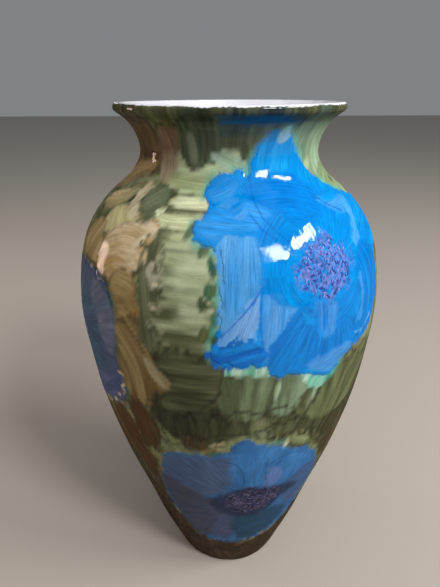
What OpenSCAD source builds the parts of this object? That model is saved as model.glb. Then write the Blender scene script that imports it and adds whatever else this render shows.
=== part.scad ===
// A baluster flower vase in fired clay: a foot ring, a tall body, a wide shoulder, a short neck and a
// flared lip. A white glaze lines it and runs over the lip, a green painted ground covers the outside,
// and blue flowers with speckled centres are painted on the ground.
// Origin: centre of the foot, on the table. +Z is up, -Y is the front.

/* [Overall] */
// Height of the whole vase
height = 300; // [270:1:330]
// Diameter of the foot ring where it stands
foot_d = 75; // [70:1:80]
// Diameter at the belly, its widest place
belly_d = 169; // [160:1:178]
// Diameter at the narrowest place of the neck
neck_d = 92; // [88:1:96]
// Diameter of the lip
rim_d = 116; // [112:1:122]

/* [Clay] */
// Thickness of the clay wall at the foot
wall_low = 5.6; // [5:0.1:7]
// Thickness of the clay wall and its glaze at the lip
wall_lip = 4; // [3.6:0.1:4.6]
// Thickness of the floor at the middle
floor_t = 6; // [5:0.5:8]
// Width of the foot ring's standing face, with its two chamfers
ring_w = 7; // [6:0.5:9]
// Depth of the hollow inside the foot ring
ring_depth = 3; // [2:0.5:4]

/* [Coats] */
// Thickness of the white glaze and of the green ground
coat = 0.4; // [0.3:0.05:0.6]
// Height of the bare clay band above the table
bare_foot = 1.5; // [1.5:0.5:4]
// Thickness of the blue flower paint
petal_t = 0.25; // [0.2:0.05:0.35]
// Thickness of the speckled paint at a flower's centre
centre_t = 0.2; // [0.15:0.05:0.3]

/* [Hidden] */
$fn = 96;

foot_r = foot_d / 2;
belly_r = belly_d / 2;
neck_r = neck_d / 2;
rim_r = rim_d / 2;
lip_r = wall_lip / 2;
chamfer = 1;
steps = 4;

// The lip is a round roll. Its outside meets the flare at lip_join degrees round the roll, and its
// inside meets the lining at lip_end. In between, green gives way to white at coat_end.
lip_centre = [rim_r - lip_r, height - lip_r];
lip_join = -52;
coat_end = 45;
lip_end = 128;
roll_join = lip_centre.y + lip_r * sin(lip_join);

// Heights as shares of the vase's height, and how far the radius has gone from one named radius to
// the next: foot to belly, belly to neck, then neck to lip.
rise = [[0, 0], [0.04, 0.09], [0.133, 0.29], [0.24, 0.487], [0.36, 0.715], [0.48, 0.888], [0.583, 0.972],
        [0.66, 1]];
shoulder = [[0.74, 0.07], [0.797, 0.21], [0.845, 0.48], [0.883, 0.825], [0.908, 0.965], [0.93, 1]];
flare = [[0.955, 0.17], [0.975, 0.5]];

function blend(a, b, t) = a + (b - a) * t;
function on_roll(centre, r, a) = centre + r * [cos(a), sin(a)];
stations = concat(
    [for (s = rise) [blend(foot_r, belly_r, s[1]), s[0] * height]],
    [for (s = shoulder) [blend(belly_r, neck_r, s[1]), s[0] * height]],
    [for (s = flare) [blend(neck_r, rim_r, s[1]), s[0] * height]],
    [on_roll(lip_centre, lip_r, lip_join)]
);
last = len(stations) - 1;

// A smooth curve through the stations: each stretch is a cubic whose ends share their slope.
function station(i) = stations[max(0, min(last, i))];
function slope(i) =
    i == last ? [-sin(lip_join), cos(lip_join)] * norm(station(last) - station(last - 1))
              : (station(i + 1) - station(i - 1)) / (i == 0 ? 1 : 2);
function cubic(a, b, da, db, t) =
    (2 * t ^ 3 - 3 * t ^ 2 + 1) * a + (t ^ 3 - 2 * t ^ 2 + t) * da
    + (3 * t ^ 2 - 2 * t ^ 3) * b + (t ^ 3 - t ^ 2) * db;
outline = concat(
    [for (i = [0 : last - 1], k = [0 : steps - 1])
        cubic(station(i), station(i + 1), slope(i), slope(i + 1), k / steps)],
    [station(last)]
);
count = len(outline);
function tangent(i) = outline[min(count - 1, i + 1)] - outline[max(0, i - 1)];
function inward(i) = [-tangent(i).y, tangent(i).x] / norm(tangent(i));

// The outline moved inwards by depth millimetres, or outwards if depth is negative. A coat's edge is
// the stretch of it from height low to height high.
function inset(i, depth) = outline[i] + inward(i) * depth;
function wall_at(i) = blend(wall_low, wall_lip, outline[i].y / height);
function radii(depth) = [for (i = [0 : count - 1]) let (p = inset(i, depth)) [p.y, p.x]];
function coat_edge(depth, low, high) = concat(
    [[lookup(low, radii(depth)), low]],
    [for (p = radii(depth)) if (p[0] > low + 0.5 && p[0] < high - 0.5) [p[1], p[0]]]
);
function inner_edge(depth, low) =
    [for (i = [count - 2 : -1 : 0]) if (outline[i].y > low) inset(i, wall_at(i) + depth)];
function roll(r, from, to) = [for (a = [from : (to - from) / 12 : to]) on_roll(lip_centre, r, a)];
function reversed(list) = [for (i = [len(list) - 1 : -1 : 0]) list[i]];

// Inside, the wall bends round into the floor. It leans outwards by wall_lean degrees where it does.
inner_floor = ring_depth + floor_t;
bend_r = 10;
wall_lean = 20;
bend_top = inner_floor + bend_r * (1 - sin(wall_lean));
inside_radii = [for (i = [0 : count - 1]) let (p = inset(i, wall_at(i))) [p.y, p.x]];
bend_centre = [lookup(bend_top, inside_radii) - bend_r * cos(wall_lean), inner_floor + bend_r];

// The inside of the clay, from the lip down to the middle of the floor.
function lining(depth) = concat(
    inner_edge(depth, bend_top + 4),
    [for (a = [-wall_lean : -14 : -90]) bend_centre + (bend_r - depth) * [cos(a), sin(a)]],
    [[0, inner_floor + depth]]
);

// Fired clay: the one piece that carries everything, with a hollow under the foot.
module clay_body() {
    color("linen") rotate_extrude()
        polygon(concat(
            [[0, ring_depth], [foot_r - ring_w - chamfer, ring_depth],
             [foot_r - ring_w, ring_depth - chamfer], [foot_r - ring_w, chamfer],
             [foot_r - ring_w + chamfer, 0], [foot_r - chamfer - coat, 0]],
            coat_edge(coat, chamfer, roll_join),
            roll(lip_r - coat, lip_join, lip_end),
            lining(-coat)
        ));
}

// White glaze: from the middle of the floor, up the inside and over the top of the lip.
module white_glaze() {
    color("white") rotate_extrude()
        polygon(concat(
            roll(lip_r, coat_end, lip_end),
            lining(0),
            reversed(lining(-coat)),
            roll(lip_r - coat, lip_end, coat_end)
        ));
}

// Green painted ground: the coat on the outside, from the bare foot round the lip's outer edge.
module green_ground() {
    color("darkolivegreen") rotate_extrude()
        polygon(concat(
            coat_edge(0, bare_foot, roll_join),
            roll(lip_r, lip_join, coat_end),
            roll(lip_r - coat, coat_end, lip_join),
            reversed(coat_edge(coat, bare_foot, roll_join))
        ));
}

// A skin of paint that lies on the ground, from base to base + thick above it.
module paint_skin(base, thick, low, high) {
    rotate_extrude()
        polygon(concat(
            coat_edge(-base - thick, low, high),
            reversed(coat_edge(-base, low, high))
        ));
}

// Cuts a shape out of a skin. The shape is drawn as seen from outside, facing turn degrees round the
// vase from its front, with x across and y up.
module stencil(turn, base, thick, low, high) {
    intersection() {
        paint_skin(base, thick, low, high);
        rotate([0, 0, turn - 90]) rotate([90, 0, 90]) linear_extrude(height = belly_r + 5) children();
    }
}

// A closed curve through points, for a petal edge that a brush has drawn.
function brushed(points) =
    let (n = len(points))
    [for (i = [0 : n - 1], k = [0 : 2])
        let (a = points[i], b = points[(i + 1) % n], before = points[(i + n - 1) % n], after = points[(i + 2) % n])
        cubic(a, b, (b - before) / 2, (after - a) / 2, k / 3)];

// A round flower of petals, wide and tall as given, about a centre at height level.
function rosette(level, wide, tall, petals) =
    [for (a = [0 : 8 : 352]) [0, level] + (1 + 0.13 * cos(petals * a)) * [wide * cos(a), tall * sin(a)]];

// Each flower: the way it faces, the height of its speckled centre and how far that lies off the middle.
front = [30, 234, 4];
lower = [8, 92, 2];
left = [-68, 192, 0];
right = [112, 150, 0];
rear = [172, 226, 0];
rear_lower = [-140, 96, 0];
centre_r = 14;

// The edges of the three flowers that face the front, as seen looking straight at each.
front_shape = [
    [2, 285], [10, 276], [26, 265], [44, 257], [56, 243], [52, 224], [42, 204], [26, 192],
    [6, 184], [-10, 190], [-28, 191], [-46, 199], [-43, 214], [-45, 238], [-52, 250], [-42, 262],
    [-30, 271], [-14, 274]
];
lower_shape = [
    [-6, 143], [4, 149], [20, 141], [34, 126], [43, 104], [41, 78], [30, 56], [12, 39],
    [-10, 38], [-28, 50], [-40, 71], [-43, 99], [-36, 126], [-20, 140]
];
left_shape = [
    [37, 168], [36, 190], [39, 208], [30, 227], [6, 234], [-20, 229], [-40, 208], [-42, 186],
    [-28, 159], [-4, 148], [24, 150]
];

module flower(place, shape, low, high) {
    color("dodgerblue") stencil(place[0], 0, petal_t, low, high) polygon(shape);
}

module centre(place) {
    stencil(place[0], petal_t, centre_t, place[1] - 24, place[1] + 24)
        translate([place[2], place[1]]) circle(r = centre_r);
}

module front_flower() { flower(front, brushed(front_shape), 178, 292); }
module lower_flower() { flower(lower, brushed(lower_shape), 30, 156); }
module left_flower() { flower(left, brushed(left_shape), 142, 240); }
module right_flower() { flower(right, rosette(right[1], 36, 36, 5), 104, 196); }
module rear_flower() { flower(rear, rosette(rear[1], 40, 32, 6), 186, 266); }
module rear_lower_flower() { flower(rear_lower, rosette(rear_lower[1], 30, 36, 5), 50, 142); }

// The six speckled centres, each a separate round patch on its flower.
module flower_centres() {
    color("slateblue") for (place = [front, lower, left, right, rear, rear_lower]) centre(place);
}

clay_body();
white_glaze();
green_ground();
front_flower();
lower_flower();
left_flower();
right_flower();
rear_flower();
rear_lower_flower();
flower_centres();
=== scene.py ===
"""A hand-painted flower vase: glazed clay, white inside, blue flowers brushed on an olive green ground.

The vase is a body of turning. A point on its outside is given by its azimuth in degrees, 0 at the
front (-Y) and positive towards +X, and by its height in millimetres. The painting is a list of brush
strokes and petals in those terms. They are laid on one after another, and each mesh of the outside
takes its colour, its relief and the direction of the bristles from them at its own points.
"""

import math

import bpy
import numpy as np
from mathutils import Matrix, Vector


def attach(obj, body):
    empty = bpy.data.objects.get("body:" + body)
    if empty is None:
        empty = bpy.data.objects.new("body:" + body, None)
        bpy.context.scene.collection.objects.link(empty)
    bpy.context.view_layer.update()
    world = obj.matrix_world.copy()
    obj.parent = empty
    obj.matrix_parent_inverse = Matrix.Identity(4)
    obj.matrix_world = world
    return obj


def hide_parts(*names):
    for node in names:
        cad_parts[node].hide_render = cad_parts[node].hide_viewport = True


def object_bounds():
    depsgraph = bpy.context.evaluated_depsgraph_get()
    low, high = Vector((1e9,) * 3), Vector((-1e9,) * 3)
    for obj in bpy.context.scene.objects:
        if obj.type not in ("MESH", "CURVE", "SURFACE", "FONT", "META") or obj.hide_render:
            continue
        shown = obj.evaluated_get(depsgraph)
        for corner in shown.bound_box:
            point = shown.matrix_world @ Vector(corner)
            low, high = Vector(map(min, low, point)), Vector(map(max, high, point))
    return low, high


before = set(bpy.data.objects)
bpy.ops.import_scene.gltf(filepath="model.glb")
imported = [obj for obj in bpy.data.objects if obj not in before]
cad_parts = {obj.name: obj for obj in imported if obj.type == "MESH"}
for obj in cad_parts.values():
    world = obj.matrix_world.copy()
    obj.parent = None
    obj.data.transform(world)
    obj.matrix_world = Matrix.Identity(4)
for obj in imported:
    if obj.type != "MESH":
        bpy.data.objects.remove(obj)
cad_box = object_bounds()

MM = 0.001
HEIGHT = cad_box[1][2] / MM

# The driving radii of the vase, in millimetres, as in the design.
FOOT_R, BELLY_R, NECK_R, RIM_R = 37.5, 84.5, 46.0, 58.0
WALL_LOW, WALL_LIP = 5.6, 4.0
COAT = 0.4
BARE_FOOT = 1.5
FLOOR_TOP = 9.0
LIP_R = WALL_LIP / 2
LIP_CENTRE = (RIM_R - LIP_R, HEIGHT - LIP_R)
LIP_JOIN = -52
# Inside, the wall leans out by WALL_LEAN degrees where it bends into the floor.
BEND_R = 10.0
WALL_LEAN = 20

# Heights as shares of the vase's height, and how far the radius has gone from one named radius to the
# next: foot to belly, belly to neck, then neck to lip.
RISE = [(0, 0), (0.04, 0.09), (0.133, 0.29), (0.24, 0.487), (0.36, 0.715), (0.48, 0.888),
        (0.583, 0.972), (0.66, 1)]
SHOULDER = [(0.74, 0.07), (0.797, 0.21), (0.845, 0.48), (0.883, 0.825), (0.908, 0.965), (0.93, 1)]
FLARE = [(0.955, 0.17), (0.975, 0.5)]


# ---------------------------------------------------------------- the outline of turning

def on_roll(radius, degrees):
    """A point of the lip's round roll."""
    a = math.radians(degrees)
    return (LIP_CENTRE[0] + radius * math.cos(a), LIP_CENTRE[1] + radius * math.sin(a))


def make_outline(steps=60):
    """(radius, height) points of the outside, foot to lip, on one smooth curve."""
    points = []
    for shares, a, b in ((RISE, FOOT_R, BELLY_R), (SHOULDER, BELLY_R, NECK_R), (FLARE, NECK_R, RIM_R)):
        points += [(a + (b - a) * go, share * HEIGHT) for share, go in shares]
    p = np.array(points + [on_roll(LIP_R, LIP_JOIN)])
    slope = np.empty_like(p)
    slope[1:-1] = (p[2:] - p[:-2]) / 2
    slope[0] = p[1] - p[0]
    end = math.radians(LIP_JOIN)
    slope[-1] = np.array([-math.sin(end), math.cos(end)]) * np.linalg.norm(p[-1] - p[-2])
    t = np.linspace(0, 1, steps, endpoint=False)[:, None]
    curve = [
        (2 * t**3 - 3 * t**2 + 1) * p[i] + (t**3 - 2 * t**2 + t) * slope[i]
        + (3 * t**2 - 2 * t**3) * p[i + 1] + (t**3 - t**2) * slope[i + 1]
        for i in range(len(p) - 1)
    ]
    return np.concatenate(curve + [p[-1:]])


def outward_normals(line):
    """The unit normal of a line of (radius, height) points, on its right as it goes."""
    along = np.gradient(line, axis=0)
    normal = np.stack([along[:, 1], -along[:, 0]], 1)
    return normal / np.linalg.norm(normal, axis=1)[:, None]


def arc_lengths(line):
    return np.concatenate([[0], np.cumsum(np.linalg.norm(np.diff(line, axis=0), axis=1))])


def resampled(line, count):
    """The same line with count points, evenly spaced along it."""
    s = arc_lengths(line)
    at = np.linspace(0, s[-1], count)
    return np.stack([np.interp(at, s, line[:, 0]), np.interp(at, s, line[:, 1])], 1)


OUTLINE = make_outline()
OUTLINE_S = arc_lengths(OUTLINE)
OUTLINE_N = outward_normals(OUTLINE)


def radius_at(z):
    return np.interp(z, OUTLINE[:, 1], OUTLINE[:, 0])


def arc_at(z):
    """The length along the outline from the foot to height z."""
    return np.interp(z, OUTLINE[:, 1], OUTLINE_S)


def heights_at_arc(s):
    return np.interp(s, OUTLINE_S, OUTLINE[:, 1])


# ---------------------------------------------------------------- noise

def hashed(ix, iy, seed):
    """A fixed random number from 0 to 1 for each whole-numbered place."""
    h = (ix * 374761393 + iy * 668265263 + seed * 974634777) & 0xFFFFFFFF
    h = ((h ^ (h >> 13)) * 1274126177) & 0xFFFFFFFF
    return ((h ^ (h >> 16)) & 0xFFFF) / 65535.0


def noise(x, y, seed):
    """Smooth noise from 0 to 1, with one wave about every unit."""
    ix, iy = np.floor(x).astype(np.int64), np.floor(y).astype(np.int64)
    fx, fy = x - ix, y - iy
    fx, fy = fx * fx * (3 - 2 * fx), fy * fy * (3 - 2 * fy)
    low = hashed(ix, iy, seed) * (1 - fx) + hashed(ix + 1, iy, seed) * fx
    high = hashed(ix, iy + 1, seed) * (1 - fx) + hashed(ix + 1, iy + 1, seed) * fx
    return low * (1 - fy) + high * fy


def smooth(low, high, x):
    t = np.clip((x - low) / (high - low), 0, 1)
    return t * t * (3 - 2 * t)


# ---------------------------------------------------------------- the painting

def srgb(r, g, b):
    """A colour given as it shows on a screen, 0 to 255, in the linear light that shaders use."""
    c = np.array([r, g, b]) / 255
    return np.where(c <= 0.04045, c / 12.92, ((c + 0.055) / 1.055) ** 2.4)


class Canvas:
    """Paint at the points of a mesh on the vase's outside."""

    def __init__(self, azimuth, height):
        self.azimuth, self.z = azimuth, height
        self.r, self.s = radius_at(height), arc_at(height)
        self.colour = np.zeros((len(azimuth), 3))
        self.relief = np.zeros(len(azimuth))
        self.bristle = np.zeros((len(azimuth), 3))
        self.grain = np.zeros(len(azimuth))

    def around(self, azimuth, height, reach):
        """The points within reach of a place, and where they lie from it: across and up, in mm."""
        turn = (self.azimuth - azimuth + 180) % 360 - 180
        x = np.radians(turn) * self.r
        y = self.s - arc_at(height)
        near = np.nonzero((np.abs(x) < reach) & (np.abs(y) < reach) & (np.abs(turn) < 120))[0]
        return near, x[near], y[near]

    def lay(self, near, depth, cover, colour, relief, across, along, seed):
        """Lays paint of the given cover, 0 to 1, over what is there. depth is how far inside the stroke
        each point lies, in mm. The shader's bristle marks fade out where two strokes meet."""
        c = cover[:, None]
        self.colour[near] = self.colour[near] * (1 - c) + colour * c
        self.relief[near] = self.relief[near] * (1 - 0.7 * cover) + relief * cover
        inside = depth > 0
        self.bristle[near[inside]] = np.stack(
            [across[inside], along[inside], np.full(inside.sum(), float(seed % 97))], 1)
        self.grain[near] = np.where(inside, smooth(0.3, 2.2, depth),
                                    self.grain[near] * smooth(0, -1.6, depth))


def streaks(across, along, seed, pitch=1.5, stretch=14.0):
    """Bristle marks: fine noise drawn out along the stroke, about 0 on average."""
    fine = noise(across / pitch, along / stretch + 0.35 * across / stretch, seed)
    broad = noise(across / (3.1 * pitch), along / (1.6 * stretch), seed + 51)
    return 1.1 * (fine - 0.5) + 0.9 * (broad - 0.5)


def dab(canvas, azimuth, height, lean, length, width, colour, under=None, bend=0.0, cover=0.95,
        edge=0.25, tip=0.0, fade=0.0, contrast=1.0, soft=0.9, seed=1):
    """One stroke of the brush. It runs along lean degrees from level, and bends up by bend of its length.
    The bristles leave colour, streaked with under. Paint pools dark along the sides by edge and round the
    far end by tip, and fade draws the stroke out from the colour at its near end to under at its far end."""
    near, x, y = canvas.around(azimuth, height, 0.62 * length + width)
    if not len(near):
        return
    a = math.radians(lean)
    along, across = x * math.cos(a) + y * math.sin(a), y * math.cos(a) - x * math.sin(a)
    across = across - bend * length * ((2 * along / length) ** 2 - 0.5)
    w = 2 * across / width
    ragged = (noise(across / 1.1, np.full(len(x), 3.0), seed + 7) - 0.5) * width / length
    t = 2 * along / length + 0.8 * ragged
    inside = 1 - (np.abs(w) ** 2.5 + np.abs(t) ** 2.5) ** 0.4
    inside += 0.12 * (noise(along / 3.3, across / 3.3, seed + 13) - 0.5)
    depth = inside * width / 2
    marks = contrast * streaks(across, along, seed)
    alpha = smooth(-0.2, soft, depth) * np.clip(cover + 0.35 * marks, 0, 1)
    end = smooth(0.1, 0.9, t)
    pool = edge * smooth(2.4, 0.4, depth) + tip * smooth(3.4, 0.9, depth) * end
    under = colour * 1.5 + 0.012 if under is None else under
    mixed = colour + (under - colour) * np.clip(0.42 + 0.5 * fade * t + 1.15 * marks, 0, 1)[:, None]
    mixed = mixed * np.clip(1 - pool, 0.1, 1)[:, None]
    relief = 0.10 + 0.03 * marks + 0.05 * smooth(2.2, 0.3, depth)
    canvas.lay(near, depth, alpha, mixed, relief, across, along, seed)


def signed_depth(x, y, loop):
    """How far each point lies inside a closed loop of points: negative outside it."""
    best = np.full(len(x), 1e9)
    inside = np.zeros(len(x), bool)
    for (ax, ay), (bx, by) in zip(loop, np.roll(loop, -1, axis=0)):
        ex, ey = bx - ax, by - ay
        t = np.clip(((x - ax) * ex + (y - ay) * ey) / (ex * ex + ey * ey + 1e-12), 0, 1)
        best = np.minimum(best, (x - ax - t * ex) ** 2 + (y - ay - t * ey) ** 2)
        if ay != by:
            inside ^= ((ay > y) != (by > y)) & (x < ex * (y - ay) / ey + ax)
    return np.where(inside, 1, -1) * np.sqrt(best)


def rounded_loop(points, steps=5):
    """A smooth closed curve through the points."""
    p = np.array(points, float)
    slope = (np.roll(p, -1, axis=0) - np.roll(p, 1, axis=0)) / 2
    q, slope_q = np.roll(p, -1, axis=0), np.roll(slope, -1, axis=0)
    out = []
    for t in np.arange(steps) / steps:
        out.append((2 * t**3 - 3 * t**2 + 1) * p + (t**3 - 2 * t**2 + t) * slope
                   + (3 * t**2 - 2 * t**3) * q + (t**3 - t**2) * slope_q)
    return np.stack(out, 1).reshape(-1, 2)


def shape_depth(canvas, points, ragged, seed):
    """The points near a smooth loop of (azimuth, height) points: which, where they lie from its middle,
    in mm across (at the middle's radius) and up, and how deep inside it they are. Its edge wanders."""
    loop = np.array(points, float)
    middle = (loop.min(0) + loop.max(0)) / 2
    r0 = float(radius_at(middle[1]))
    flat = np.stack([np.radians(loop[:, 0] - middle[0]) * r0, arc_at(loop[:, 1]) - arc_at(middle[1])], 1)
    reach = 0.5 * np.ptp(flat, axis=0) + 9
    turn = np.radians((canvas.azimuth - middle[0] + 180) % 360 - 180) * r0
    up = canvas.s - arc_at(middle[1])
    near = np.nonzero((np.abs(turn) < reach[0]) & (np.abs(up) < reach[1]))[0]
    x, y = turn[near], up[near]
    if not len(near):
        return near, x, y, x, middle
    wander = (noise(x / 3.2, y / 3.2, seed + 29) - 0.5) * ragged * 1.6
    wander += (noise(x / 1.2, y / 1.2, seed + 31) - 0.5) * ragged * 0.8
    return near, x, y, signed_depth(x, y, rounded_loop(flat)) + wander, middle


def patch(canvas, points, colour, under=None, focus=None, lean=90, orbit=False, cover=1.0, soft=1.2,
          ragged=1.4, rim=0.0, rim_width=2.0, rim_from=None, fade=0.0, contrast=1.0, relief=0.14, seed=1):
    """A painted shape, such as a petal, inside a smooth loop of (azimuth, height) points.
    Its bristle marks run towards focus, or round it if orbit, or along lean degrees from level. Its edge is
    soft over soft mm and wanders by ragged mm. It darkens by rim within rim_width of it, all round or only
    on the side that lies rim_from degrees from level, and turns by fade from colour at its foot to under."""
    near, x, y, depth, middle = shape_depth(canvas, points, ragged, seed)
    if not len(near):
        return
    if focus is None:
        a = math.radians(lean)
        along, across = x * math.cos(a) + y * math.sin(a), y * math.cos(a) - x * math.sin(a)
    else:
        fx = x - math.radians(focus[0] - middle[0]) * float(radius_at(middle[1]))
        fy = y - (arc_at(focus[1]) - arc_at(middle[1]))
        along, across = np.hypot(fx, fy), np.arctan2(fy, fx) * 24
        if orbit:
            along, across = across, along
    marks = contrast * streaks(across, along, seed)
    alpha = smooth(-soft / 2, soft / 2, depth) * np.clip(cover + 0.4 * marks * (cover < 1), 0, 1)
    under = colour * 1.35 if under is None else under
    rise = fade * 0.5 * np.clip(y / (0.5 * np.ptp(y) - 9), -1, 1)
    mixed = colour + (under - colour) * np.clip(0.4 + rise + 1.1 * marks, 0, 1)[:, None]
    ring = rim * smooth(rim_width, 0, depth)
    if rim_from is not None:
        ring = ring * smooth(-0.2, 0.7, np.cos(np.arctan2(y, x) - math.radians(rim_from)))
    mixed = mixed * (1 - ring)[:, None]
    thick = relief * (0.8 + 0.2 * marks + 0.4 * smooth(3, 0.5, depth))
    canvas.lay(near, depth, alpha, mixed, thick, across, along, seed)


def line(canvas, points, width, colour, cover=0.8, seed=1):
    """A thin drawn line through (azimuth, height) points."""
    for n, (start, end) in enumerate(zip(points, points[1:])):
        r0 = float(radius_at((start[1] + end[1]) / 2))
        bx = math.radians(end[0] - start[0]) * r0
        by = float(arc_at(end[1]) - arc_at(start[1]))
        near, x, y = canvas.around(start[0], start[1], math.hypot(bx, by) + 3 * width)
        if not len(near):
            continue
        x = x / canvas.r[near] * r0
        t = np.clip((x * bx + y * by) / (bx * bx + by * by), 0, 1)
        gap = np.hypot(x - t * bx, y - t * by)
        gap = gap + (noise(x / 2, y / 2, seed + n) - 0.5) * width * 0.6
        alpha = smooth(width / 2 + 0.35, width / 2 - 0.45, gap) * cover
        c = alpha[:, None]
        canvas.colour[near] = canvas.colour[near] * (1 - c) + colour * c


def crumbs(canvas, points, reach, count, tones, seed):
    """Small ragged flecks of paint along a line through (azimuth, height) points, where wet strokes met."""
    random = np.random.default_rng(seed)
    path = np.array(points, float)
    for n in range(count):
        t = random.random() * (len(path) - 1)
        azimuth, height = path[int(t)] + (t % 1) * (path[int(t) + 1] - path[int(t)])
        dab(canvas, azimuth + 0.8 * reach * random.normal(), height + reach * random.normal(),
            180 * random.random(), 2 + 4 * random.random(), 1.3 + 1.5 * random.random(),
            tones[int(random.integers(len(tones)))], edge=0.0, soft=0.6, cover=0.8, seed=seed + n)


# Paints, named for how they show on the vase.
OLIVE = srgb(96, 100, 62)
DARK_OLIVE = srgb(62, 64, 38)
DEEP_OLIVE = srgb(42, 43, 24)
SAGE = srgb(142, 156, 116)
PALE_SAGE = srgb(184, 198, 156)
MINT = srgb(182, 208, 188)
CREAM = srgb(220, 220, 182)
TAN = srgb(178, 152, 104)
PALE_TAN = srgb(206, 186, 142)
BROWN = srgb(126, 102, 60)
UMBER = srgb(78, 58, 30)
SOIL = srgb(54, 40, 20)
TEAL = srgb(70, 160, 142)
DARK_TEAL = srgb(44, 104, 92)
FOREST = srgb(52, 78, 52)
CERULEAN = srgb(0, 126, 206)
BRIGHT = srgb(0, 142, 216)
AZURE = srgb(0, 112, 196)
COBALT = srgb(0, 92, 180)
PERIWINKLE = srgb(78, 146, 208)
PALE_BLUE = srgb(130, 180, 226)
LILAC = srgb(116, 134, 198)
VIOLET = srgb(50, 66, 146)
INK = srgb(28, 34, 70)
SLATE = srgb(76, 94, 118)
DUSK = srgb(74, 82, 114)
# The lower flower's blues: painted darker and greyer than the front flower's, as painted shade of the lower
# body.
STEEL = srgb(40, 92, 146)
STEEL_LIGHT = srgb(58, 108, 156)
STEEL_DEEP = srgb(22, 54, 92)
WHITE = srgb(236, 234, 242)

# Brush strokes of the ground as the front shows them, each (azimuth, height, lean, length, width,
# colour, the colour of its streaks, and its bend if it has one). They are laid from the neck downwards.
NECK_DABS = [
    (-78, 284, 88, 34, 15, UMBER, BROWN), (-66, 286, 90, 34, 13, SOIL, BROWN),
    (-56, 284, 92, 34, 11, UMBER, srgb(98, 76, 48)),
    (-46, 285, 90, 34, 10, srgb(66, 50, 34), BROWN),
    (2, 286, 84, 26, 16, srgb(70, 76, 54), srgb(98, 104, 80)),
    (16, 289, 86, 22, 15, srgb(78, 86, 64), srgb(104, 114, 88)),
    (30, 293, 88, 12, 15, srgb(78, 92, 68), srgb(112, 130, 104)),
    (44, 286, 88, 34, 15, srgb(106, 130, 104), srgb(140, 162, 134)),
    (58, 282, 92, 36, 15, srgb(130, 154, 124), srgb(158, 180, 150)),
    (72, 282, 96, 36, 15, srgb(136, 158, 128), srgb(158, 180, 150)),
    (86, 284, 90, 34, 15, srgb(110, 128, 98), srgb(138, 156, 120)),
    (64, 274, 100, 20, 6, srgb(150, 172, 138), MINT),
]
SHOULDER_DABS = [
    (-74, 266, 30, 30, 14, srgb(156, 132, 94), TAN, 0.1),
    (-60, 270, 24, 28, 10, srgb(140, 122, 84), TAN),
    (-62, 258, 24, 28, 12, srgb(164, 150, 104), PALE_TAN, 0.1),
    (-50, 266, 14, 22, 9, srgb(128, 120, 82), SAGE),
    (-20, 268, -4, 30, 9, srgb(150, 160, 112), srgb(190, 198, 152)),
    (-14, 261, 0, 26, 9, srgb(184, 188, 142), CREAM),
    (-20, 255, 2, 32, 8, srgb(176, 180, 132), srgb(206, 208, 166), 0.04),
    (2, 276, -26, 20, 8, srgb(150, 176, 148), MINT),
    (62, 266, 28, 34, 12, srgb(112, 134, 92), srgb(144, 162, 120), 0.05),
    (78, 260, 20, 30, 12, srgb(120, 138, 98), srgb(150, 166, 126)),
    (48, 272, 40, 16, 5, srgb(150, 174, 118), PALE_SAGE),
]
COLUMN_DABS = [
    (-14, 249, 1, 34, 8, srgb(178, 182, 134), srgb(206, 210, 166), 0.05),
    (-17, 241, -4, 16, 7, srgb(110, 116, 78), srgb(150, 156, 116), 0.04),
    (-10, 236, 2, 19, 6, srgb(150, 160, 124), srgb(186, 192, 156), 0.06),
    (-17, 228, 3, 14, 7, srgb(128, 136, 100), srgb(158, 166, 128), 0.06),
    (-8, 219, -3, 13, 7, srgb(112, 118, 86), srgb(148, 152, 118), 0.05),
    (-15, 211, 0, 17, 6, srgb(62, 66, 40), srgb(98, 102, 70), 0.05),
    (-9, 205, 4, 16, 6, srgb(72, 76, 48), srgb(104, 108, 76), 0.05),
    (-9, 222, 84, 14, 4, srgb(140, 144, 116), srgb(170, 174, 144)),
    (-11, 243, 60, 9, 3, srgb(184, 182, 156), CREAM),
]
# The dark rounded strokes that edge the front flower's left side.
EDGE_DABS = [
    (-13.5, 252, 66, 13, 4, srgb(66, 88, 52), srgb(70, 128, 96)),
    (-8.5, 263, 95, 8, 3.5, srgb(92, 104, 60), FOREST),
    (-8, 245, 60, 8, 5, srgb(96, 106, 74), srgb(70, 96, 66)),
    (-5, 239, 104, 9, 4, srgb(62, 76, 46), DARK_TEAL),
    (-5.5, 230, 78, 8, 6, srgb(84, 98, 66), srgb(58, 104, 76)),
    (-7.5, 224, 110, 7, 5, srgb(60, 70, 44), FOREST),
    (-4, 218, 88, 7, 4, srgb(76, 96, 66), srgb(56, 120, 100)), (-7, 212, 70, 9, 5, srgb(62, 70, 44), OLIVE),
    (-3.5, 207, 98, 10, 4.5, srgb(48, 58, 34), FOREST),
]
WAIST_DABS = [
    (-32, 150, 100, 36, 17, srgb(66, 38, 12), srgb(88, 58, 26), 0.1),
    (-44, 142, 110, 40, 18, srgb(70, 40, 12), srgb(98, 64, 30), 0.1),
    (-57, 130, 112, 44, 18, srgb(66, 38, 12), srgb(98, 66, 32), 0.1),
    (-38, 118, 108, 40, 17, srgb(60, 36, 12), srgb(92, 62, 30), 0.1),
    (46, 146, 64, 30, 14, srgb(50, 46, 24), srgb(74, 70, 42)),
    (54, 128, 64, 34, 16, srgb(54, 40, 18), srgb(78, 62, 34)),
    (62, 160, 60, 40, 20, srgb(44, 44, 22), srgb(66, 66, 40)),
    (44, 122, 70, 34, 12, srgb(52, 44, 20), srgb(76, 66, 38)),
]
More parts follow.
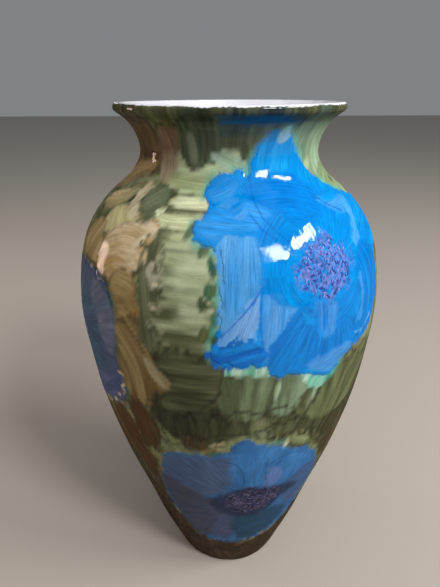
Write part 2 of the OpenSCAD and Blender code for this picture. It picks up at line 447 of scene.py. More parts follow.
# Rounded tufts in rows below the front flower, laid before the ones above them.
TUFT_DABS = [
    (-14, 158, 96, 22, 14, srgb(36, 36, 17), srgb(56, 58, 34)),
    (-4, 157, 84, 24, 13, srgb(50, 52, 29), srgb(76, 80, 50)),
    (4, 158, 92, 24, 12, srgb(50, 54, 30), srgb(78, 82, 54)),
    (20, 156, 76, 24, 13, srgb(60, 62, 36), srgb(90, 92, 62)),
    (29, 155, 70, 24, 13, srgb(54, 56, 32), srgb(82, 84, 54)),
    (38, 152, 66, 26, 13, srgb(54, 54, 30), srgb(82, 82, 52)),
    (11, 160, 90, 22, 10, srgb(76, 80, 52), srgb(116, 120, 86)),
    (-12, 147, 80, 16, 14, srgb(60, 46, 24), srgb(88, 72, 44)),
    (2, 150, 10, 22, 7, srgb(70, 70, 42), srgb(100, 98, 64)),
    (12, 152, 92, 12, 11, srgb(80, 90, 62), srgb(120, 128, 98)),
    (26, 149, -12, 26, 6, srgb(76, 70, 42), srgb(112, 104, 70)),
]
FRINGE_DABS = [
    (-1, 147, 12, 13, 8, srgb(146, 142, 104), srgb(182, 172, 132)),
    (-7, 143, 24, 10, 4, srgb(100, 92, 58), BROWN),
    (6, 150, 20, 7, 4, srgb(128, 146, 160), PALE_BLUE),
    (28, 143, -34, 17, 7, srgb(130, 142, 96), srgb(164, 174, 128)),
    (22, 144, 70, 9, 4, srgb(180, 186, 146), CREAM),
    (18, 146, -10, 11, 5, srgb(60, 120, 104), MINT),
    (34, 136, -50, 12, 5, srgb(84, 92, 52), OLIVE),
    (-3, 141, 4, 13, 4, DARK_TEAL, srgb(70, 104, 88)),
    (-20, 137, 24, 15, 4, srgb(64, 52, 26), srgb(100, 84, 52)),
    (-32, 118, 70, 18, 4, srgb(60, 44, 18), srgb(96, 76, 44)), (-35, 92, 84, 20, 4, SOIL, UMBER),
]


def scatter_ground(canvas):
    """The green ground all round: rounded, dark-tipped dabs that overlap like scales, from the lip down.
    Their colour drifts slowly over the vase, and is browner and darker towards the foot: partly the ground's
    own paint, partly painted shade of the lower body."""
    canvas.colour[:] = DARK_OLIVE
    random = np.random.default_rng(5)
    for height in np.arange(298, 2, -9.0):
        count = max(9, int(2 * math.pi * float(radius_at(height)) / 15))
        low = smooth(190, 30, height)
        for k in range(count):
            azimuth = (k + 0.6 * random.random()) * 360 / count + height * 7
            turn = math.radians(azimuth)
            drift = math.sin(2 * turn + height / 23) * math.cos(turn - height / 37)
            light = np.clip(0.5 + 0.4 * drift + 0.35 * (random.random() - 0.5), 0, 1)
            tone = srgb(52, 54, 31) * (1 - light) + srgb(118, 122, 80) * light
            # Browner and darker towards the foot: partly the ground's paint, partly painted shade.
            tone = tone * (1 - low) + srgb(52, 34, 12) * low
            bright = random.random() < 0.65
            streak = tone * 1.7 + 0.01 if bright else tone + 0.3 * (PALE_SAGE - tone) * (1 - low)
            lean = 90 + 34 * random.normal() + 20 * drift
            dab(canvas, azimuth, height + 3 * random.normal(), lean, 24 + 12 * random.random(),
                15 + 6 * random.random(), tone, streak, bend=0.08 * random.normal(), edge=0.25, tip=0.5,
                fade=0.5, contrast=1.2, seed=int(random.integers(1, 9999)))


def dabs(canvas, strokes, seed, **look):
    for n, (azimuth, height, lean, length, width, colour, under, *bend) in enumerate(strokes):
        dab(canvas, azimuth, height, lean, length, width, colour, under, bend=sum(bend), seed=seed + 17 * n,
            **look)


def paint_neck(canvas):
    """The neck: upright strokes, brown at the left and pale green at the right."""
    dabs(canvas, NECK_DABS, 300, edge=0.2, contrast=0.7)
    # A painted reflection: a level blue band under the lip, where the front flower shows in the lip's
    # underside.
    dab(canvas, 16, 294.5, 0, 58, 8, srgb(26, 84, 124), srgb(34, 118, 172), edge=0.0, soft=2, cover=0.85,
        seed=430)
    patch(canvas, [(-39, 290), (-27, 290), (-30, 280), (-29, 273), (-36, 272), (-44, 275)],
          srgb(104, 82, 62), srgb(128, 104, 82), lean=92, soft=3, seed=431)
    patch(canvas, [(-40, 278), (-30, 280), (-25, 270), (-24, 266), (-32, 266), (-40, 270)],
          srgb(150, 134, 108), srgb(178, 162, 134), lean=92, soft=4, seed=432)
    patch(canvas, [(-28, 280), (-11, 276), (-2, 281), (6, 280), (4, 272), (-10, 269), (-12, 265), (-26, 265)],
          srgb(146, 162, 122), PALE_SAGE, lean=12, soft=3, seed=433)
    patch(canvas, [(-22, 297), (-6, 297), (-3, 285), (-5, 281), (-11, 275), (-23, 274), (-27, 281),
                   (-26, 290)],
          srgb(60, 72, 52), srgb(92, 102, 78), lean=90, soft=1.6, rim=0.3, rim_from=-90, contrast=1.2,
          seed=434)
    dab(canvas, -20, 283, 92, 16, 5, srgb(100, 108, 84), srgb(132, 138, 112), edge=0, seed=435)


def paint_shoulder(canvas):
    """The shoulder, left of the front flower: level strokes and a few leaves."""
    dabs(canvas, SHOULDER_DABS, 700, edge=0.15)
    patch(canvas, [(-56, 255), (-49, 257), (-41, 255), (-38, 251), (-46, 246), (-56, 246)],
          srgb(180, 172, 122), srgb(212, 206, 158), lean=128, soft=3, seed=436)
    patch(canvas, [(-46, 267), (-43, 267), (-40, 264), (-43, 259), (-36, 254), (-40, 253), (-47, 257),
                   (-49, 262)],
          srgb(176, 160, 128), srgb(208, 196, 164), lean=70, soft=1.6, seed=437)
    patch(canvas, [(-43, 262), (-41, 265), (-33, 267), (-28, 263), (-28, 257), (-33, 254), (-39, 257)],
          srgb(92, 102, 74), srgb(120, 128, 98), lean=48, soft=1.4, rim=0.3, rim_width=2, seed=438)
    dab(canvas, -29, 257, 40, 6, 4, PALE_SAGE, CREAM, edge=0, seed=439)


def paint_left_strokes(canvas):
    """Left of the middle: large rounded strokes of tan, then brown, then a long sweep down to the right."""
    patch(canvas, [(-70, 238), (-66, 247), (-57, 249), (-52, 243), (-50, 232), (-56, 226), (-64, 228)],
          srgb(150, 130, 88), srgb(190, 168, 120), lean=70, soft=2, rim=0.2, seed=440)
    patch(canvas, [(-52, 240), (-49, 247), (-42, 251), (-34, 253), (-26, 253), (-27, 244), (-29, 236),
                   (-36, 228),
                   (-44, 222), (-51, 226)],
          srgb(170, 142, 88), srgb(214, 194, 162), focus=(-38, 224), orbit=True, soft=1.2, rim=0.5,
          rim_width=2,
          rim_from=115, fade=0.9, contrast=0.8, seed=401)
    dab(canvas, -32, 246, 50, 12, 4, srgb(196, 182, 150), CREAM, edge=0, seed=441)
    patch(canvas, [(-44, 222), (-41, 230), (-36, 234), (-31, 232), (-29, 222), (-28, 210), (-32, 202),
                   (-40, 202),
                   (-44, 210)],
          srgb(130, 106, 62), srgb(164, 142, 98), focus=(-37, 206), orbit=True, soft=1.2, rim=0.5,
          rim_width=2,
          rim_from=100, fade=0.6, contrast=0.8, seed=402)
    patch(canvas, [(-40, 204), (-36, 212), (-30, 214), (-25, 208), (-23, 198), (-20, 191), (-17, 182),
                   (-19, 174),
                   (-26, 168), (-34, 165), (-38, 175), (-41, 190)],
          srgb(104, 84, 44), srgb(150, 132, 88), focus=(-52, 176), orbit=True, soft=1.2, rim=0.45,
          rim_width=2.6,
          rim_from=80, contrast=1.0, seed=403)
    dab(canvas, -23, 188, 124, 22, 5, srgb(140, 128, 92), srgb(176, 166, 132), bend=-0.06, edge=0, seed=407)
    dab(canvas, -21, 189, 128, 14, 2.4, srgb(170, 164, 134), CREAM, bend=-0.06, edge=0, soft=1.2, cover=0.6,
        seed=442)
    dab(canvas, -40.5, 202, 88, 20, 3.5, srgb(172, 140, 104), PALE_TAN, edge=0.1, seed=408)
    dabs(canvas, WAIST_DABS, 1100, edge=0.3, contrast=0.8)
    dab(canvas, -42, 158, 14, 16, 4, srgb(116, 98, 74), srgb(164, 148, 120), edge=0.1, seed=409)
    dab(canvas, -38, 154, 126, 9, 2.2, srgb(150, 132, 104), PALE_TAN, edge=0, soft=0.5, seed=443)


def paint_column(canvas):
    """The column of level strokes beside the front flower, and the shaded gap at its left."""
    patch(canvas, [(-30, 236), (-29, 243), (-25, 252), (-20, 250), (-16, 236), (-16, 214), (-20, 200),
                   (-28, 204),
                   (-28, 222)],
          srgb(80, 84, 58), srgb(112, 114, 86), lean=100, soft=3, seed=444)
    # The column itself: one broad level band of fine streaks, pale at the top and darker below.
    patch(canvas, [(-23, 240), (-20, 250), (-8, 252), (-3, 244), (-3, 222), (-4, 206), (-10, 200), (-19, 200),
                   (-23, 212), (-21, 226)],
          srgb(80, 86, 54), srgb(172, 180, 140), lean=2, soft=4, fade=0.9, contrast=1.1, seed=446)
    patch(canvas, [(-18, 246), (-5, 248), (-4, 224), (-8, 214), (-14, 214), (-16, 228)],
          srgb(122, 134, 100), srgb(184, 192, 156), lean=2, soft=8, cover=0.5, contrast=1.5, seed=447)
    dabs(canvas, COLUMN_DABS, 500, edge=0.0, contrast=1.4, cover=0.55, soft=3.0)
    patch(canvas, [(-27.5, 235), (-25, 240), (-22, 239), (-21.5, 232), (-24, 229)],
          srgb(150, 146, 122), srgb(190, 184, 160), lean=112, soft=1.2, rim=0.2, seed=445)
    crumbs(canvas, [(-22, 249), (-23, 238), (-21, 226), (-23, 212), (-20, 202)], 1.4, 46,
           [srgb(124, 122, 94), srgb(50, 54, 32), srgb(176, 168, 140), srgb(84, 88, 58), srgb(70, 74, 48)],
           450)
    crumbs(canvas, [(-31, 250), (-29, 240), (-31, 230)], 1.2, 16, [srgb(196, 178, 140), srgb(64, 58, 32)],
           520)
    crumbs(canvas, [(-5, 246), (-4, 234), (-5, 222), (-4, 208)], 1.3, 34,
           [srgb(54, 66, 38), srgb(66, 118, 88), srgb(120, 130, 96), srgb(40, 50, 28)], 560)


def paint_dark_middle(canvas):
    """Dark strokes low in the middle."""
    patch(canvas, [(-24, 176), (-6, 178), (0, 170), (0, 158), (-8, 150), (-20, 150), (-26, 160)],
          srgb(38, 37, 19), srgb(62, 62, 38), lean=84, soft=3, seed=406)
    patch(canvas, [(-24, 199), (-19, 201), (-10, 203), (-4, 200), (-1, 194), (-2, 181), (-8, 169), (-17, 166),
                   (-22, 172), (-18, 183), (-21, 191)],
          srgb(54, 56, 33), srgb(92, 94, 66), lean=3, soft=1.4, rim=0.5, rim_width=3.5, rim_from=90, fade=0.3,
          contrast=1.2, seed=405)
    dabs(canvas, TUFT_DABS, 1300, edge=0.25, tip=0.6, contrast=1.3)


def paint_tufts(canvas):
    """Three tall streaked tufts under the front flower, and the fringe of small strokes below them."""
    patch(canvas, [(28, 160), (31, 172), (35, 182), (44, 186), (54, 184), (62, 176), (60, 162), (48, 153),
                   (34, 154)],
          srgb(70, 74, 46), srgb(108, 116, 78), focus=(34, 130), soft=1.4, rim=0.5, rim_width=2, contrast=1.0,
          seed=412)
    patch(canvas, [(15, 190), (20, 191), (26, 189), (27, 180), (25, 174), (22, 166), (16, 165), (13, 176)],
          srgb(82, 94, 68), srgb(130, 150, 120), focus=(18, 138), soft=1.4, rim=0.5, rim_width=2,
          contrast=1.0,
          seed=411)
    patch(canvas, [(-2, 191), (3, 191), (8, 193), (13, 191), (15, 184), (14, 172), (10, 165), (2, 165),
                   (-3, 175)],
          srgb(78, 86, 58), srgb(122, 138, 104), focus=(6, 134), soft=1.4, rim=0.55, rim_width=2,
          contrast=1.0,
          seed=410)
    dab(canvas, 15.5, 182, 84, 14, 3.2, srgb(150, 170, 132), MINT, edge=0, seed=448)
    dab(canvas, 30, 176, 80, 14, 2.6, srgb(140, 158, 126), MINT, edge=0, seed=413)
    for k, points in enumerate((
            [(-8, 164), (-5, 167), (-1, 166), (2, 170), (5, 171), (9, 169), (12, 168), (15, 171), (19, 171),
             (23, 168)],
            [(13, 158), (16, 161), (20, 159), (24, 161), (29, 158)], [(30, 168), (32, 176), (35, 181)],
            [(-4, 154), (0, 156), (6, 155), (8, 152), (12, 150), (17, 151), (22, 150), (28, 147), (34, 143)],
            [(-17, 165), (-10, 169), (-5, 176), (-2, 183)], [(-27, 171), (-21, 166), (-16, 160)])):
        line(canvas, points, 1.8, DEEP_OLIVE, cover=0.6, seed=460 + k)
    dabs(canvas, FRINGE_DABS, 900, edge=0.1)
    crumbs(canvas, [(-26, 134), (-12, 140), (-2, 150), (12, 151), (26, 148), (36, 140)], 1.3, 60,
           [srgb(36, 34, 16), srgb(104, 108, 74), srgb(58, 60, 34), srgb(30, 32, 16)], 640)
    crumbs(canvas, [(-24, 199), (-14, 204), (-4, 200), (-1, 194)], 1.0, 24,
           [srgb(34, 36, 18), srgb(74, 78, 50)], 720)


def paint_front_ground(canvas):
    """The ground as the front shows it, laid from the neck down."""
    for part in (paint_neck, paint_shoulder, paint_left_strokes, paint_column, paint_dark_middle,
                 paint_tufts):
        part(canvas)


def halo(canvas, outline, width, colour, under, seed, cover=0.85):
    """A soft band of paint that shows round a flower's edge."""
    near, x, y, depth, _ = shape_depth(canvas, outline, 1.6, seed)
    if not len(near):
        return
    patches = smooth(0.25, 0.6, noise(x / 9, y / 9, seed + 3))
    band = smooth(-width, -0.4, depth) * cover * patches
    marks = streaks(x, y, seed)
    mixed = colour + (under - colour) * np.clip(0.5 + marks, 0, 1)[:, None]
    c = band[:, None]
    canvas.colour[near] = canvas.colour[near] * (1 - c) + mixed * c


def speckle(canvas, heart, wide, tall, dark, mid, light, seed, cover=1.0):
    """A flower's centre: fine speckles of three colours, thinning out towards its edge."""
    near, x, y = canvas.around(heart[0], heart[1], 1.5 * max(wide, tall))
    if not len(near):
        return
    radius = np.hypot(x / wide, y / tall)
    body = smooth(1.15, 0.75, radius + 0.5 * (noise(x / 3, y / 3, seed) - 0.5))
    for tone, size, low, n in ((mid, 1.7, 0.42, 1), (light, 1.1, 0.56, 2), (dark, 1.3, 0.55, 3),
                               (light, 0.9, 0.66, 4)):
        spots = noise(x / size + 0.8 * noise(x / 2, y / 2, seed + 9), y / size, seed + n)
        ring = 1 - 0.5 * smooth(0.45, 0.0, radius) if tone is dark else 1.0
        c = (body * cover * ring * smooth(low, low + 0.12, spots))[:, None]
        canvas.colour[near] = canvas.colour[near] * (1 - c) + tone * c
    canvas.grain[near] *= 1 - body
    canvas.relief[near] += 0.12 * body * (noise(x / 1.3, y / 1.3, seed + 5) - 0.3)


FRONT_HEART = (33, 235)
FRONT_OUTLINE = [
    (11, 271), (12, 277), (17, 283), (24, 286), (29, 290.5), (35, 286), (42, 279), (49, 272), (58, 264.5),
    (71, 259),
    (86, 254), (88, 246), (76, 237), (66, 230), (63, 216), (58, 203), (47, 197), (40, 190), (34, 183),
    (26, 188), (14, 190), (11, 196), (2, 197), (-5, 202), (-3, 212), (-2, 230), (-3, 245), (-11, 248),
    (-13, 253), (-8, 259), (-11, 266), (-5, 272), (4, 273)]
LOWER_HEART = (12, 94)
LOWER_OUTLINE = [
    (-25, 132), (-13, 139), (-3, 140), (5, 151), (13, 146), (24, 139), (34, 132), (42, 118), (48, 100),
    (50, 80), (44, 60), (32, 46), (12, 38), (-12, 40), (-26, 58), (-33, 82), (-30, 108)]
LEFT_HEART = (-72, 190)
LEFT_OUTLINE = [
    (-96, 205), (-86, 220), (-70, 229), (-52, 228), (-43, 223), (-39, 210), (-39, 190), (-38, 168),
    (-45, 157), (-58, 150), (-74, 146), (-90, 156), (-98, 180)]


def paint_flower_base(canvas):
    """The front flower's whole shape in one blue, and the greens that edge it."""
    heart = FRONT_HEART
    halo(canvas, FRONT_OUTLINE, 5, srgb(120, 180, 156), TEAL, seed=21)
    patch(canvas, [(-1, 193), (1, 197), (10, 197), (14, 192), (9, 191), (3, 191)], srgb(96, 166, 136), MINT,
          lean=84,
          soft=1.5, seed=30)
    patch(canvas, [(24, 191), (34, 186), (33, 178), (29, 178), (25, 183)], srgb(92, 178, 156), MINT, lean=70,
          soft=1.5, seed=31)
    dabs(canvas, EDGE_DABS, 800, edge=0.2)
    patch(canvas, FRONT_OUTLINE, CERULEAN, BRIGHT, focus=heart, soft=1.0, ragged=1.6, rim=0.1, contrast=0.8,
          seed=11)


def paint_upper_petals(canvas):
    """The broad upper petals, deeper in colour across the shoulder, with strokes that swirl round them."""
    patch(canvas, [(6, 262), (14, 270), (26, 273), (38, 270), (46, 262), (38, 254), (24, 252), (12, 254)],
          AZURE, CERULEAN, focus=(22, 240), orbit=True, cover=0.85, soft=5, seed=12)
    patch(canvas, [(20, 288), (30, 289), (38, 283), (42, 276), (30, 272), (16, 274), (14, 280)],
          srgb(0, 138, 218), srgb(30, 158, 226), lean=84, cover=0.85, soft=4, seed=13)
    patch(canvas, [(-10, 266), (-3, 271), (4, 268), (0, 262), (-6, 262)],
          srgb(70, 148, 216), CERULEAN, lean=30, cover=0.7, soft=2, seed=14)
    patch(canvas, [(-12, 253), (-4, 261), (10, 262), (18, 256), (8, 250), (-4, 249)],
          srgb(4, 132, 212), srgb(54, 146, 216), focus=(30, 252), cover=0.85, soft=3, seed=15)
    patch(canvas, [(0, 262), (5, 262), (6, 257), (2, 256)], PERIWINKLE, CERULEAN, lean=40, soft=3, cover=0.8,
          seed=32)
    patch(canvas, [(26, 288), (29, 291), (34, 287), (31, 285), (27, 285)], MINT, PALE_BLUE, soft=1.5,
          cover=0.7, seed=16)
    patch(canvas, [(42, 260), (51, 260), (65, 257), (57, 253), (49, 254), (45, 257)],
          srgb(76, 150, 214), BRIGHT, lean=0, soft=3, cover=0.85, seed=17)


def paint_pale_petals(canvas):
    """The pale petals at the lower left."""
    patch(canvas, [(-3, 249), (9, 249), (12, 242), (11, 232), (7, 227), (-2, 212), (-3, 230)],
          srgb(86, 156, 212), srgb(56, 140, 208), lean=88, soft=1.2, seed=18)
    patch(canvas, [(-2, 207), (-2, 212), (5, 224), (10, 231), (9, 220), (8, 208), (3, 207)],
          srgb(110, 160, 214), srgb(86, 148, 212), lean=70, soft=1.0, seed=19)
    patch(canvas, [(11, 229), (22, 226), (20, 218), (17, 213), (14, 208), (12, 197), (10.5, 204), (10, 218)],
          srgb(84, 150, 212), srgb(48, 136, 206), lean=84, soft=1.5, seed=20)


def paint_deep_petals(canvas):
    """Strokes that run round the centre, and the deep petals below and to the right of it."""
    heart = FRONT_HEART
    patch(canvas, [(10, 252), (19, 258), (24, 252), (20, 240), (22, 230), (28, 222), (22, 220), (12, 228),
                   (10, 240)],
          srgb(0, 116, 196), BRIGHT, focus=heart, orbit=True, cover=0.9, soft=3, contrast=0.7, seed=46)
    patch(canvas, [(15, 211), (20, 219), (24, 222), (27, 218), (28, 210), (31, 205), (36, 207), (40, 212),
                   (59, 198),
                   (46, 192), (38, 190), (21, 191), (13, 193), (12, 204)],
          srgb(0, 106, 188), srgb(0, 128, 204), focus=heart, soft=1.5, contrast=0.7, seed=22)
    patch(canvas, [(24, 222), (34, 221), (44, 224), (50, 232), (54, 226), (46, 214), (34, 210), (24, 214)],
          srgb(0, 116, 194), BRIGHT, focus=heart, orbit=True, cover=0.9, soft=2.5, contrast=0.7, seed=33)
    patch(canvas, [(27, 222), (35, 220), (36, 213), (35, 207), (31, 205), (28, 211)],
          srgb(76, 146, 208), AZURE, lean=92, soft=4, cover=0.8, seed=23)
    patch(canvas, [(51, 240), (60, 239), (66, 228), (67, 215), (59, 199), (46, 204), (48, 216), (47, 229)],
          srgb(0, 114, 194), srgb(8, 130, 206), focus=(30, 216), orbit=True, soft=1.5, seed=24)
    patch(canvas, [(50, 243), (56, 250), (60, 256), (62, 254), (58, 247), (53, 240)], srgb(92, 162, 214),
          BRIGHT,
          lean=50, soft=2, cover=0.8, seed=25)
    patch(canvas, [(47, 206), (49, 216), (48, 228), (50, 228), (51, 216), (50, 206)], PERIWINKLE, BRIGHT,
          lean=88,
          soft=1.5, cover=0.7, seed=26)
    patch(canvas, [(25, 192), (31, 187), (35, 184), (40, 189), (45, 193), (40, 197), (31, 196)],
          srgb(72, 142, 208), PERIWINKLE, lean=20, soft=3, cover=0.7, seed=27)
    patch(canvas, [(43, 202), (50, 200), (58, 205), (57, 202), (50, 198)], PALE_BLUE, BRIGHT, lean=10, soft=1,
          cover=0.8, seed=28)
    patch(canvas, [(-6, 203), (-1, 205), (3, 209), (6, 209), (10, 205), (11, 198), (8, 196), (-1, 196)],
          srgb(0, 92, 178), srgb(6, 126, 204), lean=16, soft=0.8, ragged=3.0, contrast=1.3, seed=29)


def paint_petal_lines(canvas):
    """Thin dark lines that part the petals."""
    line(canvas, [(-2, 211), (2, 217), (7, 225), (10, 231)], 1.0, srgb(0, 104, 196), seed=41)
    line(canvas, [(10, 231), (9.3, 219), (10, 208), (12, 195)], 1.2, srgb(0, 112, 204), seed=42)
    line(canvas, [(11, 276), (10.5, 270), (11, 262), (13, 256), (18, 250), (21, 247)], 1.2, srgb(0, 100, 184),
         cover=0.6, seed=43)
    line(canvas, [(8, 258), (12, 252), (17, 248)], 1.0, srgb(0, 96, 184), cover=0.6, seed=44)
    line(canvas, [(40, 261), (44, 260), (47, 257), (53, 254)], 1.3, srgb(0, 92, 176), cover=0.6, seed=45)
    line(canvas, [(11, 232), (12, 242), (10, 248)], 1.0, srgb(20, 126, 214), cover=0.6, seed=47)
    line(canvas, [(57, 205), (60, 202), (63, 206)], 1.2, srgb(0, 92, 180), cover=0.6, seed=48)


def paint_front_flower(canvas):
    for part in (paint_flower_base, paint_upper_petals, paint_pale_petals, paint_deep_petals,
                 paint_petal_lines):
        part(canvas)
    speckle(canvas, FRONT_HEART, 16, 14, srgb(50, 70, 150), srgb(52, 118, 194), srgb(106, 130, 200), seed=51)


def paint_lower_flower(canvas):
    # Its blues are darker and greyer than the front flower's: painted shade of the lower body, which faces
    # the floor.
    heart = LOWER_HEART
    halo(canvas, LOWER_OUTLINE, 5, srgb(96, 104, 70), srgb(140, 150, 104), seed=61)
    patch(canvas, LOWER_OUTLINE, STEEL, STEEL_LIGHT, focus=heart, soft=2.0, ragged=1.8, rim=0.15,
          contrast=0.5,
          seed=62)
    patch(canvas, [(-24, 132), (-12, 138), (0, 138), (4, 124), (0, 108), (-12, 98), (-22, 88), (-31, 92),
                   (-29, 112)],
          srgb(62, 80, 110), srgb(80, 100, 136), focus=heart, cover=0.9, soft=6, contrast=0.5, seed=63)
    patch(canvas, [(4, 146), (14, 145), (24, 138), (38, 124), (34, 112), (20, 106), (6, 110), (1, 124)],
          srgb(42, 106, 166), srgb(70, 132, 190), focus=(12, 60), cover=0.85, soft=6, contrast=0.5, seed=74)
    patch(canvas, [(-32, 108), (-16, 104), (-4, 92), (-4, 74), (-8, 54), (-16, 44), (-28, 60)],
          srgb(56, 60, 74), srgb(76, 78, 98), focus=heart, cover=0.9, soft=6, contrast=0.5, seed=64)
    patch(canvas, [(-8, 80), (3, 80), (6, 62), (2, 46), (-9, 50)], srgb(60, 66, 92), srgb(78, 82, 112),
          focus=heart,
          cover=0.8, soft=5, contrast=0.5, seed=65)
    patch(canvas, [(4, 79), (14, 77), (28, 78), (38, 66), (28, 48), (12, 42), (3, 54)],
          srgb(26, 58, 80), srgb(34, 72, 98), focus=heart, orbit=True, cover=0.9, soft=5, contrast=0.6,
          seed=66)
    patch(canvas, [(17, 124), (22, 124), (24, 112), (19, 107), (16, 113)], srgb(104, 122, 176), STEEL_LIGHT,
          lean=84,
          soft=4, cover=0.85, contrast=0.5, seed=67)
    patch(canvas, [(28, 104), (36, 114), (46, 108), (48, 84), (40, 70), (32, 80)], srgb(46, 84, 126), DUSK,
          focus=heart,
          soft=4, cover=0.7, contrast=0.6, seed=68)
    line(canvas, [(-2, 136), (3, 133), (6, 126), (7, 117), (6, 109)], 0.8, STEEL_DEEP, cover=0.5, seed=69)
    line(canvas, [(16, 134), (15.5, 126), (16, 117), (18, 109)], 0.9, STEEL_DEEP, cover=0.5, seed=70)
    line(canvas, [(16, 128), (20, 133), (26, 134), (32, 130)], 0.8, STEEL_DEEP, cover=0.4, seed=76)
    patch(canvas, [(-9, 92), (-5, 100), (3, 107), (10, 110), (20, 106), (30, 103), (36, 96), (28, 90),
                   (24, 80),
                   (15, 75), (6, 75), (-3, 81)],
          srgb(26, 36, 60), srgb(38, 50, 78), focus=heart, orbit=True, cover=0.85, soft=5, contrast=0.7,
          seed=71)
    patch(canvas, [(-1, 95), (4, 103), (14, 105), (24, 101), (26, 90), (20, 81), (8, 79), (0, 84)],
          srgb(34, 32, 54), srgb(50, 46, 72), lean=10, cover=0.7, soft=5, seed=72)
    speckle(canvas, heart, 16, 14, srgb(16, 18, 36), srgb(44, 42, 68), srgb(92, 88, 122), seed=73)
    crumbs(canvas, [(-16, 44), (-6, 41), (6, 39.5), (18, 40), (28, 45)], 0.7, 22,
           [srgb(120, 118, 104), srgb(60, 58, 44), srgb(30, 34, 40)], 760)


def paint_left_flower(canvas):
    heart = LEFT_HEART
    halo(canvas, LEFT_OUTLINE, 5, FOREST, srgb(96, 104, 80), seed=81)
    patch(canvas, LEFT_OUTLINE, SLATE, DUSK, focus=heart, soft=1.4, ragged=1.6, rim=0.2, contrast=0.8,
          seed=82)
    patch(canvas, [(-52, 224), (-42, 219), (-39, 204), (-41, 190), (-47, 196), (-53, 212)],
          srgb(92, 104, 128), srgb(116, 120, 140), focus=heart, cover=0.85, soft=4, contrast=0.7, seed=83)
    patch(canvas, [(-62, 214), (-51, 210), (-47, 190), (-50, 174), (-62, 168), (-70, 190)],
          srgb(46, 76, 98), srgb(70, 100, 124), focus=heart, cover=0.85, soft=4, contrast=0.8, seed=84)
    patch(canvas, [(-62, 166), (-48, 172), (-40, 182), (-38, 168), (-46, 158), (-58, 152)],
          srgb(66, 80, 120), srgb(92, 98, 134), lean=40, cover=0.8, soft=3, seed=85)
    line(canvas, [(-64, 231), (-54, 230), (-44, 226), (-40, 216)], 2.2, srgb(38, 58, 46), cover=0.7, seed=86)
    speckle(canvas, heart, 15, 14, INK, SLATE, LILAC, seed=87)
    crumbs(canvas, [(-56, 150), (-46, 157), (-39, 168), (-38, 186)], 1.0, 26,
           [srgb(176, 156, 132), srgb(64, 74, 104), srgb(110, 92, 66)], 800)


def petal_loop(heart, turn, reach, spread):
    """The outline of a petal that grows from just behind heart, as (azimuth, height) points. turn is its
    direction in degrees from level, and reach and spread its length and width in mm."""
    r = float(radius_at(heart[1]))
    a = math.radians(turn)
    loop = []
    for along, across in ((-0.08, 0.0), (0.3, 0.34), (0.62, 0.5), (0.9, 0.4), (1.0, 0.12), (0.95, -0.12),
                          (0.9, -0.42),
                          (0.6, -0.48), (0.28, -0.3)):
        x = reach * along * math.cos(a) - spread * across * math.sin(a)
        y = reach * along * math.sin(a) + spread * across * math.cos(a)
        loop.append((heart[0] + math.degrees(x / r), float(heights_at_arc(float(arc_at(heart[1])) + y))))
    return loop


def guessed_petals(heart, size, count, first):
    return [petal_loop(heart, first + k * 360 / count, size * (1 + 0.14 * math.sin(5 * k + first)),
                       1.05 * size)
            for k in range(count)]


# The flowers that the front doesn't show: heart, size, number of petals, direction of the first, tone, seed.
# tone darkens the lower flowers' paints, as painted shade.
GUESSED = {
    "right_flower": ((112, 150), 38, 5, 90, 0.8, 2000),
    "rear_flower": ((172, 226), 40, 6, 20, 1.0, 2200),
    "rear_lower_flower": ((-140, 96), 34, 5, 75, 0.65, 2400),
}


def paint_guessed_flower(canvas, heart, size, count, first, tone, seed):
    """A flower in the manner of the front one: overlapping petals in several blues round a speckled heart."""
    blues = [(CERULEAN, BRIGHT), (srgb(0, 112, 220), AZURE), (PERIWINKLE, srgb(80, 154, 240)),
             (AZURE, CERULEAN)]
    # tone darkens all its paints: painted shade, deeper on the lower flowers.
    petals = guessed_petals(heart, size, count, first)
    for k, loop in enumerate(petals):
        halo(canvas, loop, 5, MINT * tone, TEAL * tone, seed=seed + k)
    for k, loop in enumerate(petals):
        colour, under = blues[(k * 3 + seed // 200) % len(blues)]
        patch(canvas, loop, colour * tone, under * tone, focus=heart, soft=1.2, ragged=1.6, rim=0.18,
              seed=seed + 20 + k)
    for k in range(count):
        a = math.radians(first + (k + 0.5) * 360 / count)
        r = float(radius_at(heart[1]))
        ends = [(heart[0] + math.degrees(0.9 * size * t * math.cos(a) / r),
                 heart[1] + 0.8 * size * t * math.sin(a))
                for t in (0.35, 0.55, 0.75)]
        line(canvas, ends, 1.5, COBALT * tone, cover=0.7, seed=seed + 40 + k)
    speckle(canvas, heart, 15, 15, VIOLET * tone, srgb(90, 118, 214) * tone, LILAC * tone, seed=seed + 60)


# Every flower: its heart, and how far apart its mesh's points are, in mm.
FLOWERS = {
    "front_flower": (FRONT_HEART, 0.5), "lower_flower": (LOWER_HEART, 0.55), "left_flower": (LEFT_HEART, 0.6),
    "right_flower": (GUESSED["right_flower"][0], 0.6), "rear_flower": (GUESSED["rear_flower"][0], 0.6),
    "rear_lower_flower": (GUESSED["rear_lower_flower"][0], 0.6),
}
# The painted shapes that make up each flower, as (outline, raggedness of its edge, seed).
FLOWER_LOOPS = {
    "front_flower": [(FRONT_OUTLINE, 1.6, 11)], "lower_flower": [(LOWER_OUTLINE, 1.8, 62)],
    "left_flower": [(LEFT_OUTLINE, 1.6, 82)],
}
for name, (heart, size, count, first, tone, seed) in GUESSED.items():
    FLOWER_LOOPS[name] = [(loop, 1.6, seed + 20 + k) for k,
                          loop in enumerate(guessed_petals(heart, size, count, first))]
